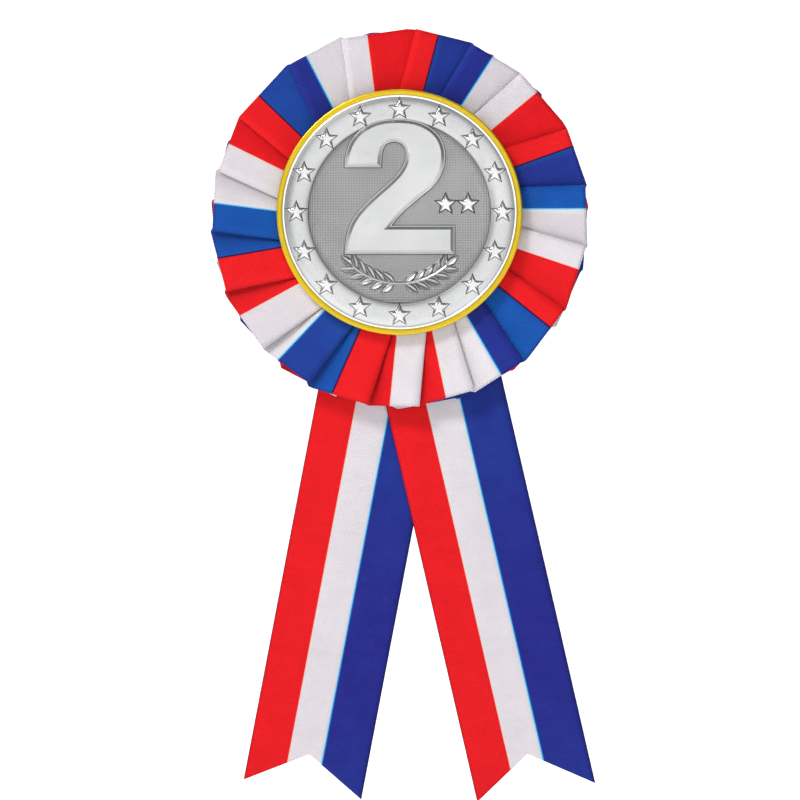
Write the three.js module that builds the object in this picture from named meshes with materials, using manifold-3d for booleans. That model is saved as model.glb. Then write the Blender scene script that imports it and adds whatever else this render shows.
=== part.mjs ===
// An award rosette: two pleated ribbon ruffles behind a struck medallion, two ribbon tails, and a bar pin on
// the back card. Millimetres, +Z up, the front faces -Y, and the viewer's right is +X.
// The origin is the middle of the back card's rear face, on the axis of the ruffles.
import * as THREE from "three";
import { mergeVertices } from "three/addons/utils/BufferGeometryUtils.js";
import Module from "manifold-3d";

const wasm = await Module();
wasm.setup();

// Ribbon and ruffles
const ribbonWidth = 31;
const ribbonThickness = 0.4;
const pleats = 19;
const selvageDistance = 48.4; // from the axis to the straight outer edge of a pleat
const foldOffset = 5.2; // how far a fold line passes from the axis
const pressedDepth = 1.5; // a ruffle's depth where the boards clamp it
const loftedDepth = 2.9; // and at a fold's outer end
const pleatStep = 1.1; // how far a pleat's trailing end lies below the next fold
const peakShare = 0.4; // where along a pleat its outer edge comes nearest the axis
const ringSteps = 60; // facets round a full circle

// Clearances
const glueGap = 0.1; // a film of glue between flat layers
const tailGap = 0.3; // between the crossing tails
const ringFit = 0.5; // a disc inside a ruffle's hole
const wireFit = 0.3; // a staple's leg in its hole
const pinFit = 0.15; // a rivet or a sleeve in its hole

// Boards, tape and staples
const sewnMargin = 6.6; // how far the boards reach over a ruffle's inner edge
const pressMargin = 1; // the pleats lie flat at least this far past the boards
const boardThickness = 1.2;
const frontBoardThickness = 1.4;
const cardRadius = 24;
const cardThickness = 1.2;
const recessDepth = 0.3; // the pocket in the card that the pin is stuck in
const stapleWire = 0.6;
const stapleSpan = 10.6;
const stapleReturn = 3.6; // length of a clenched end
const stapleHeights = [3, -6];
const tapeHoleRadius = 9.5;
const tapeMargin = 2; // from the tape's edge to the card's edge

// Gathering thread
const threadInset = 2.6; // from a ruffle's inner edge
const threadThickness = 0.4;
const grooveFit = 0.2;

// Medallion
const medallionRise = 1.4; // its centre lies this far above the ruffles' axis
const medallionLift = 0.8; // it stands this far off the pressed pleats
const rimRadius = 31.75;
const rimWall = 0.75;
const lipWidth = 1.5;
const lipThickness = 0.5;
const cupFloor = 0.8;
const insertFit = 0.15;
const flangeThickness = 0.8;
const lipMargin = 0.45; // bare metal between the lip and the band
const bandWidth = 6.15;
const bandFoot = 1.3; // heights over the insert's back
const bandCrest = 2.2;
const groundHeight = 1;
const reliefRoot = 0.2; // the relief starts this far inside the insert
const starCount = 16;
const starRadius = 2.75;
const starWaist = 0.46; // inner radius as a share of the outer
const starHeight = 2.6;
const numeralHeight = 34.6;
const numeralWidth = 28.2;
const numeralBase = -10.7; // the foot of the numeral, from the medallion's centre
const numeralTop = 3;
const numeralBevel = 0.7;
const pipMargin = 3.2; // from the outer pip to the band
const pipPitch = 5.8;
const pipLevel = 2.1;
const pipHeight = 2;
const laurelMargin = 5.25; // from the stems to the band
const laurelSweep = 41; // degrees from the bottom to a stem's end
const laurelPairs = 5;
const leafLength = 4.6;
const leafWidth = 1.9;
const leafHeight = 1.9;
const stemWidth = 0.7;
const stemHeight = 1.6;

// Tails
const tailCross = new THREE.Vector2(2.2, -4.6); // where the tails' centre lines cross
const tailRise = 13; // the tails start this far above the crossing
const hingeDrop = 2.6; // the tails bend this far below the ruffles
const hingeSlit = 0.5;
const tails = [
  { name: "tail_left", lean: -10.8, reach: 146, notch: 9.2 },
  { name: "tail_right", lean: 13, reach: 147.3, notch: 9.8 },
];

// Bar pin
const pinLevel = 11;
const barLength = 32;
const barWidth = 6;
const barThickness = 0.6;
const padThickness = 0.8;
const padInset = 1;
const recessMargin = 1;
const clothGap = 4.4; // between the bar and the needle
const needleRadius = 0.45;
const needlePoint = 4;
const needleTipRadius = 0.06;
const needleOverhang = 1.6; // past the catch
const hingeInset = 3; // from the bar's end to the rivet
const rivetRadius = 0.5;
const rivetHeadRadius = 0.95;
const rivetHeadHeight = 0.5;
const eyeRadius = 1.5;
const eyeHalfHeight = 0.8;
const earGap = 0.2;
const earThickness = 0.7;
const earRadius = 1.6;
const catchInset = 3.8; // from the bar's end to the catch's middle
const catchLength = 2;
const catchPlay = 0.55; // between the needle and the catch's bore
const catchWall = 0.9;
const slotPlay = 0.25; // either side of the needle in the catch's slot
const housingWall = 0.8;
const housingOpening = 80; // degrees either side of straight out
const tabAngle = 60; // the thumb tab's place, from straight out
const tabWidth = 0.9;
const tabReach = 1.9; // beyond the catch's barrel

// The stack, from the card forward. Each value is a Y.
const cardFront = -cardThickness;
const tapeThickness = stapleWire + 2 * glueGap;
const tapeBack = cardFront - glueGap;
const tapeFront = tapeBack - tapeThickness;
const leftTailBack = tapeFront - glueGap;
const rightTailBack = leftTailBack - ribbonThickness - tailGap;
const boardBack = rightTailBack - ribbonThickness - glueGap;
const boardFront = boardBack - boardThickness;
const rearRuffleBack = boardFront - glueGap;
const rearRuffleFront = rearRuffleBack - pressedDepth;
const frontBoardBack = rearRuffleFront - glueGap;
const frontBoardFront = frontBoardBack - frontBoardThickness;
const frontRuffleBack = Math.min(frontBoardFront, rearRuffleBack - loftedDepth) - glueGap;
const frontRuffleFront = frontRuffleBack - pressedDepth;
const cupBack = frontRuffleFront - medallionLift;
const insertBack = cupBack - cupFloor - glueGap;
const lipBack = insertBack - flangeThickness - glueGap;

// Radii and a level that follow from the ribbon and the medallion
const ruffleInnerRadius = selvageDistance - ribbonWidth;
const boardRadius = ruffleInnerRadius + sewnMargin;
const threadRadius = ruffleInnerRadius + threadInset;
const pressedRadius = Math.max(rimRadius, boardRadius + pressMargin);
const hingeLevel = -(selvageDistance + hingeDrop);
const lipRadius = rimRadius - lipWidth;
const bandOuterRadius = lipRadius - lipMargin;
const bandInnerRadius = bandOuterRadius - bandWidth;
const starCircle = (bandOuterRadius + bandInnerRadius) / 2;
const laurelRadius = bandInnerRadius - laurelMargin;
const outerPip = bandInnerRadius - pipMargin - starRadius;

const finishes = {
  satin: { color: 0xe9e5ea, roughness: 0.45, metalness: 0 },
  red: { color: 0xd81f2a, roughness: 0.45, metalness: 0 },
  blue: { color: 0x2b3090, roughness: 0.45, metalness: 0 },
  thread: { color: 0xf2efe8, roughness: 0.8, metalness: 0 },
  card: { color: 0xf4f2ec, roughness: 0.85, metalness: 0 },
  foam: { color: 0xdedede, roughness: 0.95, metalness: 0 },
  gold: { color: 0xd6b52a, roughness: 0.3, metalness: 1 },
  silver: { color: 0xc9cacc, roughness: 0.3, metalness: 1 },
  steel: { color: 0xb8babd, roughness: 0.35, metalness: 1 },
};

const radians = THREE.MathUtils.degToRad;
const award = new THREE.Group();

function addPiece(name, finish, geometry, parent = award) {
  const mesh = new THREE.Mesh(geometry, new THREE.MeshStandardMaterial(finishes[finish]));
  mesh.name = name;
  parent.add(mesh);
  return mesh;
}

// Booleans: a geometry as a solid, and a solid as a geometry.
function toSolid(geometry) {
  const bare = geometry.index ? geometry.toNonIndexed() : geometry.clone();
  bare.deleteAttribute("normal");
  bare.deleteAttribute("uv");
  const merged = mergeVertices(bare, 1e-4);
  return new wasm.Manifold(
    new wasm.Mesh({
      numProp: 3,
      vertProperties: merged.attributes.position.array,
      triVerts: new Uint32Array(merged.index.array),
    }),
  );
}

function toGeometry(solid) {
  const mesh = solid.getMesh();
  const geometry = new THREE.BufferGeometry();
  geometry.setAttribute("position", new THREE.BufferAttribute(mesh.vertProperties, 3));
  geometry.setIndex(new THREE.BufferAttribute(mesh.triVerts, 1));
  return geometry;
}

function joined(geometries) {
  return toGeometry(geometries.map(toSolid).reduce((whole, next) => whole.add(next)));
}

// A flat plate whose outline is drawn in X and Z. It runs forward from the plane y = back.
function plate(shape, back, thickness, bevel = 0, curveSegments = 8) {
  const geometry = new THREE.ExtrudeGeometry(shape, {
    depth: thickness - 2 * bevel,
    bevelEnabled: bevel > 0,
    bevelThickness: bevel,
    bevelSize: bevel,
    bevelOffset: -bevel,
    bevelSegments: 1,
    curveSegments,
  });
  return geometry.rotateX(Math.PI / 2).translate(0, back - bevel, 0);
}

// A solid of revolution about the Y axis, from [radius, y] pairs listed anticlockwise.
function turned(profile, steps = ringSteps) {
  return new THREE.LatheGeometry(profile.map(([r, y]) => new THREE.Vector2(r, y)), steps);
}

function disc(radius, back, front, steps = ringSteps) {
  return turned([[0, front], [radius, front], [radius, back], [0, back]], steps);
}

function polygon(points) {
  return new THREE.Shape(points.map(([x, z]) => new THREE.Vector2(x, z)));
}

function rectangle(x0, x1, z0, z1) {
  return polygon([[x0, z0], [x1, z0], [x1, z1], [x0, z1]]);
}

function circle(radius, steps, x = 0, z = 0) {
  const points = [];
  for (let i = 0; i < steps; i++) {
    const angle = (2 * Math.PI * i) / steps;
    points.push([x + radius * Math.cos(angle), z + radius * Math.sin(angle)]);
  }
  return polygon(points);
}

// The four holes that the staples' legs pass through.
function stapleHoles() {
  const half = stapleWire / 2 + wireFit;
  const legX = (stapleSpan - stapleWire) / 2;
  const places = stapleHeights.flatMap((z) => [[-legX, z], [legX, z]]);
  return places.map(([x, z]) => rectangle(x - half, x + half, z - half, z + half));
}

// A plate with holes punched right through it.
function punched(shape, back, thickness, holes) {
  const drills = holes.map((hole) => toSolid(plate(hole, back + glueGap, thickness + 2 * glueGap)));
  const solid = drills.reduce((whole, drill) => whole.subtract(drill), toSolid(plate(shape, back, thickness)));
  return toGeometry(solid);
}

// A knife-pleated ring. Every pleat's fold lies on top of the trailing end of the pleat before it.
function foldAngle(fold, radius, phase) {
  const slant = Math.asin(foldOffset / selvageDistance) - Math.asin(foldOffset / radius);
  return phase + (2 * Math.PI * fold) / pleats + slant;
}

function ruffle(back, phase) {
  const groove = threadThickness + 2 * grooveFit;
  const sunk = pressedDepth - threadThickness - glueGap;
  // [radius, depth, share of the pleat step, whether on the outer edge]
  const profile = [
    [ruffleInnerRadius, 0, 0, false],
    [ruffleInnerRadius, pressedDepth, 0, false],
    [threadRadius - groove / 2, pressedDepth, 0, false],
    [threadRadius - groove / 2, sunk, 0, false],
    [threadRadius + groove / 2, sunk, 0, false],
    [threadRadius + groove / 2, pressedDepth, 0, false],
    [pressedRadius, pressedDepth, 0, false],
    [(pressedRadius + selvageDistance) / 2, (pressedDepth + loftedDepth) / 2, 0.5, false],
    [selvageDistance, loftedDepth, 1, true],
    [selvageDistance, 0, 0, true],
  ];
  const shares = [0, 0.5, 0.98];
  const pleatAngle = (2 * Math.PI) / pleats;
  const positions = [];
  const index = [];
  for (let fold = 0; fold < pleats; fold++) {
    for (const share of shares) {
      for (const [radius, depth, step, outer] of profile) {
        const angle = foldAngle(fold + share, radius, phase);
        const stretch = outer ? 1 / Math.cos((share - peakShare) * pleatAngle) : 1;
        const y = back - depth + share * step * pleatStep;
        positions.push(radius * stretch * Math.sin(angle), y, radius * stretch * Math.cos(angle));
      }
    }
  }
  const columns = pleats * shares.length;
  const rows = profile.length;
  for (let i = 0; i < columns; i++) {
    for (let j = 0; j < rows; j++) {
      const a = i * rows + j;
      const b = i * rows + ((j + 1) % rows);
      const c = ((i + 1) % columns) * rows + j;
      const d = ((i + 1) % columns) * rows + ((j + 1) % rows);
      index.push(a, c, b, b, c, d);
    }
  }
  const geometry = new THREE.BufferGeometry();
  geometry.setAttribute("position", new THREE.Float32BufferAttribute(positions, 3));
  geometry.setIndex(index);
  return geometry;
}

function thread(ruffleFront) {
  const half = threadThickness / 2;
  const back = ruffleFront + threadThickness;
  return turned([
    [threadRadius - half, ruffleFront],
    [threadRadius + half, ruffleFront],
    [threadRadius + half, back],
    [threadRadius - half, back],
    [threadRadius - half, ruffleFront],
  ]);
}

// Medallion: a crimped cup and the struck insert that it holds.
function cup() {
  const wallInner = rimRadius - rimWall;
  const lipFront = lipBack - lipThickness;
  const round = lipThickness * 0.6;
  return turned([
    [0, cupBack - cupFloor],
    [wallInner, cupBack - cupFloor],
    [wallInner, lipBack],
    [lipRadius, lipBack],
    [lipRadius, lipFront + round / 2],
    [lipRadius + round, lipFront],
    [rimRadius - round, lipFront],
    [rimRadius, lipFront + round],
    [rimRadius, cupBack],
    [0, cupBack],
  ]);
}

function star(radius, x, z) {
  const points = [];
  for (let i = 0; i < 10; i++) {
    const reach = i % 2 ? radius * starWaist : radius;
    const angle = (i * Math.PI) / 5;
    points.push([x + reach * Math.sin(angle), z + reach * Math.cos(angle)]);
  }
  return polygon(points.reverse());
}

// The figure two, drawn in shares of its width (x from -0.5 to 0.5) and of its height (z from 0 to 1).
function numeral() {
  const shape = new THREE.Shape();
  const x = (share) => share * numeralWidth;
  const z = (share) => numeralBase + share * numeralHeight;
  shape.moveTo(x(-0.5), z(0));
  shape.lineTo(x(0.5), z(0));
  shape.lineTo(x(0.5), z(0.205));
  shape.lineTo(x(-0.08), z(0.205));
  shape.bezierCurveTo(x(0.03), z(0.33), x(0.19), z(0.42), x(0.29), z(0.49));
  shape.bezierCurveTo(x(0.37), z(0.55), x(0.415), z(0.64), x(0.415), z(0.725));
  shape.bezierCurveTo(x(0.415), z(0.9), x(0.24), z(1), x(-0.02), z(1));
  shape.bezierCurveTo(x(-0.29), z(1), x(-0.5), z(0.89), x(-0.5), z(0.645));
  shape.lineTo(x(-0.17), z(0.645));
  shape.bezierCurveTo(x(-0.17), z(0.79), x(-0.14), z(0.835), x(-0.05), z(0.835));
  shape.bezierCurveTo(x(0.03), z(0.835), x(0.06), z(0.79), x(0.06), z(0.735));
  shape.bezierCurveTo(x(0.06), z(0.6), x(-0.13), z(0.51), x(-0.28), z(0.39));
  shape.bezierCurveTo(x(-0.42), z(0.28), x(-0.49), z(0.2), x(-0.5), z(0));
  return shape;
}

// A leaf along a direction, in degrees from straight up and clockwise.
function leaf(rootX, rootZ, direction, length = leafLength) {
  const along = new THREE.Vector2(Math.sin(radians(direction)), Math.cos(radians(direction)));
  const across = new THREE.Vector2(along.y, -along.x);
  const root = new THREE.Vector2(rootX, rootZ).addScaledVector(along, -stemWidth / 2);
  const at = (l, w) => root.clone().addScaledVector(along, l).addScaledVector(across, w);
  const tip = at(length, 0);
  const shape = new THREE.Shape();
  shape.moveTo(root.x, root.y);
  const right = at(length * 0.45, leafWidth);
  shape.quadraticCurveTo(right.x, right.y, tip.x, tip.y);
  const left = at(length * 0.45, -leafWidth);
  shape.quadraticCurveTo(left.x, left.y, root.x, root.y);
  return shape;
}

// One laurel stem and its leaves, on the side given by 1 or -1.
function laurelSpray(side, back) {
  const solids = [];
  const half = stemWidth / 2;
  const from = -Math.PI / 2;
  const to = from + side * radians(laurelSweep);
  const stem = new THREE.Shape();
  stem.absarc(0, 0, laurelRadius + half, from, to, side < 0);
  stem.absarc(0, 0, laurelRadius - half, to, from, side > 0);
  solids.push(plate(stem, back, stemHeight - reliefRoot, 0, 10));
  for (let i = 0; i < laurelPairs; i++) {
    const sweep = (laurelSweep * (i + 0.45)) / laurelPairs;
    const x = side * laurelRadius * Math.sin(radians(sweep));
    const z = -laurelRadius * Math.cos(radians(sweep));
    const tangent = side * (90 - sweep);
    for (const turn of [-38, 38]) {
      solids.push(plate(leaf(x, z, tangent + turn), back, leafHeight - reliefRoot, 0, 4));
    }
  }
  const endX = side * laurelRadius * Math.sin(radians(laurelSweep - 1));
  const endZ = -laurelRadius * Math.cos(radians(laurelSweep - 1));
  solids.push(plate(leaf(endX, endZ, side * (90 - laurelSweep)), back, leafHeight - reliefRoot, 0, 4));
  return solids;
}

function insert() {
  const bandSteps = 6;
  const profile = [[0, insertBack - groundHeight]];
  for (let i = 0; i <= bandSteps; i++) {
    const share = i / bandSteps;
    const r = bandInnerRadius + share * (bandOuterRadius - bandInnerRadius);
    const height = bandFoot + (bandCrest - bandFoot) * Math.sin(Math.PI * share);
    profile.push([r, insertBack - height]);
  }
  const flangeRadius = rimRadius - rimWall - insertFit;
  profile.splice(1, 0, [bandInnerRadius, insertBack - groundHeight]);
  profile.push([bandOuterRadius, insertBack - flangeThickness], [flangeRadius, insertBack - flangeThickness]);
  profile.push([flangeRadius, insertBack], [0, insertBack]);
  const root = insertBack - reliefRoot;
  const solids = [turned(profile), plate(numeral(), root, numeralTop - reliefRoot, numeralBevel, 7)];
  for (let i = 0; i < starCount; i++) {
    const angle = (2 * Math.PI * i) / starCount;
    const x = starCircle * Math.sin(angle);
    const z = starCircle * Math.cos(angle);
    solids.push(plate(star(starRadius, x, z), root, starHeight - reliefRoot));
  }
  for (const x of [outerPip - pipPitch, outerPip]) {
    solids.push(plate(star(starRadius, x, pipLevel), root, pipHeight - reliefRoot));
  }
  solids.push(...laurelSpray(1, root), ...laurelSpray(-1, root));
  return joined(solids);
}

// Tails: each is one ribbon in two rigid lengths that meet at the bend below the ruffles.
// The point of a tail's left (-1) or right (1) edge at a level.
function tailEdge(tail, side, level) {
  const lean = radians(tail.lean);
  const across = (side * ribbonWidth) / 2;
  const down = (tailCross.y + across * Math.sin(lean) - level) / Math.cos(lean);
  return tailPoint(tail, across, down);
}

// A point of a tail, from its distance across the ribbon and down from the crossing.
function tailPoint(tail, across, down) {
  const lean = radians(tail.lean);
  const x = tailCross.x + across * Math.cos(lean) + down * Math.sin(lean);
  const z = tailCross.y + across * Math.sin(lean) - down * Math.cos(lean);
  return [x, z];
}

function tailUpper(tail, back) {
  const half = ribbonWidth / 2;
  const level = hingeLevel + hingeSlit / 2;
  const shape = polygon([
    tailEdge(tail, -1, level),
    tailEdge(tail, 1, level),
    tailPoint(tail, half, -tailRise),
    tailPoint(tail, -half, -tailRise),
  ]);
  return punched(shape, back, ribbonThickness, stapleHoles());
}

function tailLower(tail, back) {
  const half = ribbonWidth / 2;
  const level = hingeLevel - hingeSlit / 2;
  const shape = polygon([
    tailPoint(tail, -half, tail.reach),
    tailPoint(tail, 0, tail.reach - tail.notch),
    tailPoint(tail, half, tail.reach),
    tailEdge(tail, 1, level),
    tailEdge(tail, -1, level),
  ]);
  return plate(shape, back, ribbonThickness);
}

function staple(level) {
  const crownBack = boardFront - glueGap;
  const clenchFront = leftTailBack + glueGap;
  const half = stapleSpan / 2;
  const crownFront = crownBack - stapleWire;
  const clenchBack = clenchFront + stapleWire;
  const inner = half - stapleWire;
  const end = half - stapleReturn;
  const outline = polygon([
    [-half, crownFront],
    [half, crownFront],
    [half, clenchBack],
    [end, clenchBack],
    [end, clenchFront],
    [inner, clenchFront],
    [inner, crownBack],
    [-inner, crownBack],
    [-inner, clenchFront],
    [-end, clenchFront],
    [-end, clenchBack],
    [-half, clenchBack],
  ]);
  const geometry = new THREE.ExtrudeGeometry(outline, { depth: stapleWire, bevelEnabled: false });
  return geometry.translate(0, 0, level - stapleWire / 2);
}

function board(radius, back, thickness) {
  return punched(circle(radius, ringSteps), back, thickness, stapleHoles());
}

function tape() {
  const outline = circle(cardRadius - tapeMargin, ringSteps);
  return punched(outline, tapeBack, tapeThickness, [circle(tapeHoleRadius, ringSteps)]);
}

function backCard() {
  const whole = toSolid(disc(cardRadius, 0, cardFront));
  const length = barLength + 2 * recessMargin;
  const pocket = barPlate(length, barWidth + 2 * recessMargin, -recessDepth, 2 * recessDepth);
  return toGeometry(whole.subtract(toSolid(pocket)));
}

// Bar pin: it is stuck in the card's pocket, and its needle lies along +X from the rivet.
const padBack = -recessDepth + glueGap;
const barFoot = padBack + padThickness + glueGap;
const barTop = barFoot + barThickness;
const needleAxis = barTop + clothGap + needleRadius;
const catchBore = needleRadius + catchPlay;
const catchRadius = catchBore + catchWall;
const catchSlot = 2 * (needleRadius + slotPlay);
const rivetX = -barLength / 2 + hingeInset;
const catchX = barLength / 2 - catchInset;
const pinSteps = 16;

function barPlate(length, width, foot, thickness) {
  const half = length / 2 - width / 2;
  const shape = new THREE.Shape();
  shape.absarc(half, pinLevel, width / 2, -Math.PI / 2, Math.PI / 2);
  shape.absarc(-half, pinLevel, width / 2, Math.PI / 2, (3 * Math.PI) / 2);
  return plate(shape, foot + thickness, thickness, 0, 6);
}

// An ear is drawn in X and Y, with the rivet's hole through it.
function ear(side) {
  const shape = new THREE.Shape();
  shape.moveTo(rivetX - earRadius, barTop - barThickness / 2);
  shape.lineTo(rivetX + earRadius, barTop - barThickness / 2);
  shape.absarc(rivetX, needleAxis, earRadius, 0, Math.PI);
  shape.closePath();
  shape.holes.push(circle(rivetRadius + pinFit, pinSteps, rivetX, needleAxis));
  const inner = eyeHalfHeight + earGap;
  const low = side > 0 ? inner : -inner - earThickness;
  const options = { depth: earThickness, bevelEnabled: false, curveSegments: pinSteps };
  return new THREE.ExtrudeGeometry(shape, options).translate(0, 0, pinLevel + low);
}

// An open ring round the needle's axis, drawn looking along X. Angles are from straight out (+Y) towards +Z.
function openRing(inner, outer, openHalf, length) {
  const from = radians(openHalf);
  const to = 2 * Math.PI - from;
  const shape = new THREE.Shape();
  shape.absarc(0, 0, outer, from, to);
  shape.absarc(0, 0, inner, to, from, true);
  shape.closePath();
  return alongX(shape, length);
}

// Extrudes a shape whose x is +Y and whose y is +Z, to a length centred on the catch.
function alongX(shape, length) {
  const options = { depth: length, bevelEnabled: false, curveSegments: pinSteps };
  const geometry = new THREE.ExtrudeGeometry(shape, options);
  const basis = new THREE.Matrix4().makeBasis(
    new THREE.Vector3(0, 1, 0),
    new THREE.Vector3(0, 0, 1),
    new THREE.Vector3(1, 0, 0),
  );
  return geometry.applyMatrix4(basis).translate(catchX - length / 2, needleAxis, pinLevel);
}

function pinBar() {
  const bore = catchRadius + pinFit;
  const housing = bore + housingWall;
  const foot = barTop - barThickness / 2 - needleAxis;
  const post = rectangle(foot, -bore - housingWall / 2, -barWidth / 4, barWidth / 4);
  return joined([
    barPlate(barLength, barWidth, barFoot, barThickness),
    ear(1),
    ear(-1),
    openRing(bore, housing, housingOpening, catchLength),
    alongX(post, catchLength),
  ]);
}

function rivet() {
  const half = eyeHalfHeight + earGap + earThickness + glueGap;
  const end = half + rivetHeadHeight;
  const profile = [
    [0, -end],
    [rivetHeadRadius, -end],
    [rivetHeadRadius, -half],
    [rivetRadius, -half],
    [rivetRadius, half],
    [rivetHeadRadius, half],
    [rivetHeadRadius, end],
    [0, end],
  ];
  return turned(profile, pinSteps).rotateX(Math.PI / 2).translate(rivetX, needleAxis, pinLevel);
}

function needle() {
  const tip = catchX + catchLength / 2 + needleOverhang - rivetX;
  const wire = turned(
    [[0, 0], [needleRadius, 0], [needleRadius, tip - needlePoint], [needleTipRadius, tip], [0, tip]],
    12,
  ).rotateZ(-Math.PI / 2);
  const eye = toSolid(turned([[0, -eyeHalfHeight], [eyeRadius, -eyeHalfHeight], [eyeRadius, eyeHalfHeight],
    [0, eyeHalfHeight]], pinSteps).rotateX(Math.PI / 2));
  const hole = toSolid(disc(rivetRadius + pinFit, 2 * eyeHalfHeight, -2 * eyeHalfHeight, pinSteps)
    .rotateX(Math.PI / 2));
  const solid = toSolid(wire).add(eye).subtract(hole);
  return toGeometry(solid).translate(rivetX, needleAxis, pinLevel);
}

// The catch is a slotted barrel with a thumb tab. At rest its slot faces straight out and lets the needle by.
function pinCatch() {
  const openHalf = (Math.asin(catchSlot / 2 / catchBore) * 180) / Math.PI;
  const barrel = openRing(catchBore, catchRadius, openHalf, catchLength);
  const mid = (catchBore + catchRadius) / 2;
  const tab = rectangle(mid, catchRadius + tabReach, -tabWidth / 2, tabWidth / 2);
  const turnedTab = alongX(tab, catchLength / 2)
    .translate(0, -needleAxis, -pinLevel)
    .rotateX(radians(tabAngle))
    .translate(0, needleAxis, pinLevel);
  return joined([barrel, turnedTab]);
}

// Assembly, from the front to the back.
const medallion = new THREE.Group();
medallion.position.z = medallionRise;
award.add(medallion);
addPiece("medallion_cup", "gold", cup(), medallion);
addPiece("medallion_insert", "silver", insert(), medallion);

const rearPhase = Math.PI / pleats;
addPiece("foam_pad", "foam", disc(ruffleInnerRadius - ringFit, frontBoardFront - glueGap, cupBack + glueGap));
addPiece("front_ruffle", "red", ruffle(frontRuffleBack, radians(-8)));
addPiece("front_thread", "thread", thread(frontRuffleFront));
addPiece("front_board", "card", disc(boardRadius, frontBoardBack, frontBoardFront));
addPiece("rear_ruffle", "satin", ruffle(rearRuffleBack, radians(-8) + rearPhase));
addPiece("rear_thread", "thread", thread(rearRuffleFront));
const hubBack = boardFront - 2 * glueGap - stapleWire;
addPiece("hub_disc", "card", disc(ruffleInnerRadius - ringFit, hubBack, rearRuffleFront));
addPiece("centre_board", "card", board(boardRadius, boardBack, boardThickness));

const tailBacks = [leftTailBack, rightTailBack];
tails.forEach((tail, i) => {
  addPiece(tail.name + "_upper", i ? "red" : "blue", tailUpper(tail, tailBacks[i]));
  addPiece(tail.name + "_lower", i ? "red" : "blue", tailLower(tail, tailBacks[i]));
});
stapleHeights.forEach((level, i) => {
  addPiece(["staple_upper", "staple_lower"][i], "steel", staple(level));
});
addPiece("tape_ring", "foam", tape());
addPiece("back_card", "card", backCard());
addPiece("pin_pad", "foam", barPlate(barLength - 2 * padInset, barWidth - padInset, padBack, padThickness));
addPiece("pin_bar", "steel", pinBar());
addPiece("pin_rivet", "steel", rivet());
addPiece("pin_needle", "steel", needle());
addPiece("pin_catch", "steel", pinCatch());

export default award;
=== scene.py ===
import math
import random
import bpy
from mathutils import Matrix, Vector


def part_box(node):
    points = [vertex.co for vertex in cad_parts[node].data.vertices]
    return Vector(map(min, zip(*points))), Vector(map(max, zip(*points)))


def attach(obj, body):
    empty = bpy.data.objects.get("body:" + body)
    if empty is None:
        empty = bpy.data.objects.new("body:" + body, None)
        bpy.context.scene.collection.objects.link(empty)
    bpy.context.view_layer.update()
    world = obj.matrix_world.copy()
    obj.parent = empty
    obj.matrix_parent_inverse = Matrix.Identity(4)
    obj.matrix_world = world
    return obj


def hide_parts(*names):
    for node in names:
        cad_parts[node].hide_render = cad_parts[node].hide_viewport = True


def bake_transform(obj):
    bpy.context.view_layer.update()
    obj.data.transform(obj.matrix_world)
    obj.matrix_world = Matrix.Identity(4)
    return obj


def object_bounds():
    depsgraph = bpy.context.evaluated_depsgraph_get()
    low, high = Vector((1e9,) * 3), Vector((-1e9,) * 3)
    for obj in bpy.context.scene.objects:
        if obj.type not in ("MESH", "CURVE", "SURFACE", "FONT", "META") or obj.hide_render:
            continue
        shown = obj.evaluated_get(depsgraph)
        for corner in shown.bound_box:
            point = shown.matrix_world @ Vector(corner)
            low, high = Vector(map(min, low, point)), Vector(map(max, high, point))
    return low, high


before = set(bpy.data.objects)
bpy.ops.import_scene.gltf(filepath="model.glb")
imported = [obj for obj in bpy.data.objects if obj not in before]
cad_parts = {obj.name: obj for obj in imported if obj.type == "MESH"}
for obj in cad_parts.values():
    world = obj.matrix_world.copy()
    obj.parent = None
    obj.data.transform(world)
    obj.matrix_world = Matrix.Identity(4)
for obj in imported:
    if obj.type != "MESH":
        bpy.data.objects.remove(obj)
cad_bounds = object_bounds()

# ---------------------------------------------------------------- stage
# The award hangs in front of a white paper sweep, and the camera looks straight at it from far off. The key
# light is a softbox above on the left, with a panel on that side. The polished metal mirrors the wide panel
# behind the camera, and two lamps at the back light the sweep and the award's rear.
mm = 0.001
view_width = 207.1 * mm
view_centre = (0.13 * mm, -8 * mm, -47.1 * mm)
camera_distance = 1.5
camera_data = bpy.data.cameras.new("camera")
camera_data.sensor_width = 36
camera_data.lens = camera_data.sensor_width * camera_distance / view_width
camera_data.clip_end = 20
camera = bpy.data.objects.new("camera", camera_data)
camera.location = (view_centre[0], view_centre[1] - camera_distance, view_centre[2])
camera.rotation_euler = (math.radians(90), 0, 0)
bpy.context.collection.objects.link(camera)
bpy.context.scene.camera = camera


class Value:
    """A number that changes over a surface. Arithmetic on it adds Math nodes."""

    def __init__(self, finish, socket):
        self.finish = finish
        self.socket = socket

    def math(self, operation, *others):
        """A Math node that takes this number first, and then the others."""
        return self.finish.node("Math", {"operation": operation}, dict(enumerate((self,) + others)))

    def __add__(self, other):
        return self.math("ADD", other)

    __radd__ = __add__

    def __sub__(self, other):
        return self.math("SUBTRACT", other)

    def __rsub__(self, other):
        return self.finish.node("Math", {"operation": "SUBTRACT"}, {0: other, 1: self})

    def __mul__(self, other):
        return self.math("MULTIPLY", other)

    __rmul__ = __mul__

    def sine(self):
        return self.math("SINE")

    def size(self):
        return self.math("ABSOLUTE")

    def above(self, edge, blur):
        """0 below the edge and 1 above it, with a blurred step between."""
        return self.finish.node("MapRange", {"interpolation_type": "SMOOTHSTEP"},
                                {"Value": self, "From Min": edge - blur, "From Max": edge + blur})

    def below(self, edge, blur):
        return 1 - self.above(edge, blur)


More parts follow.
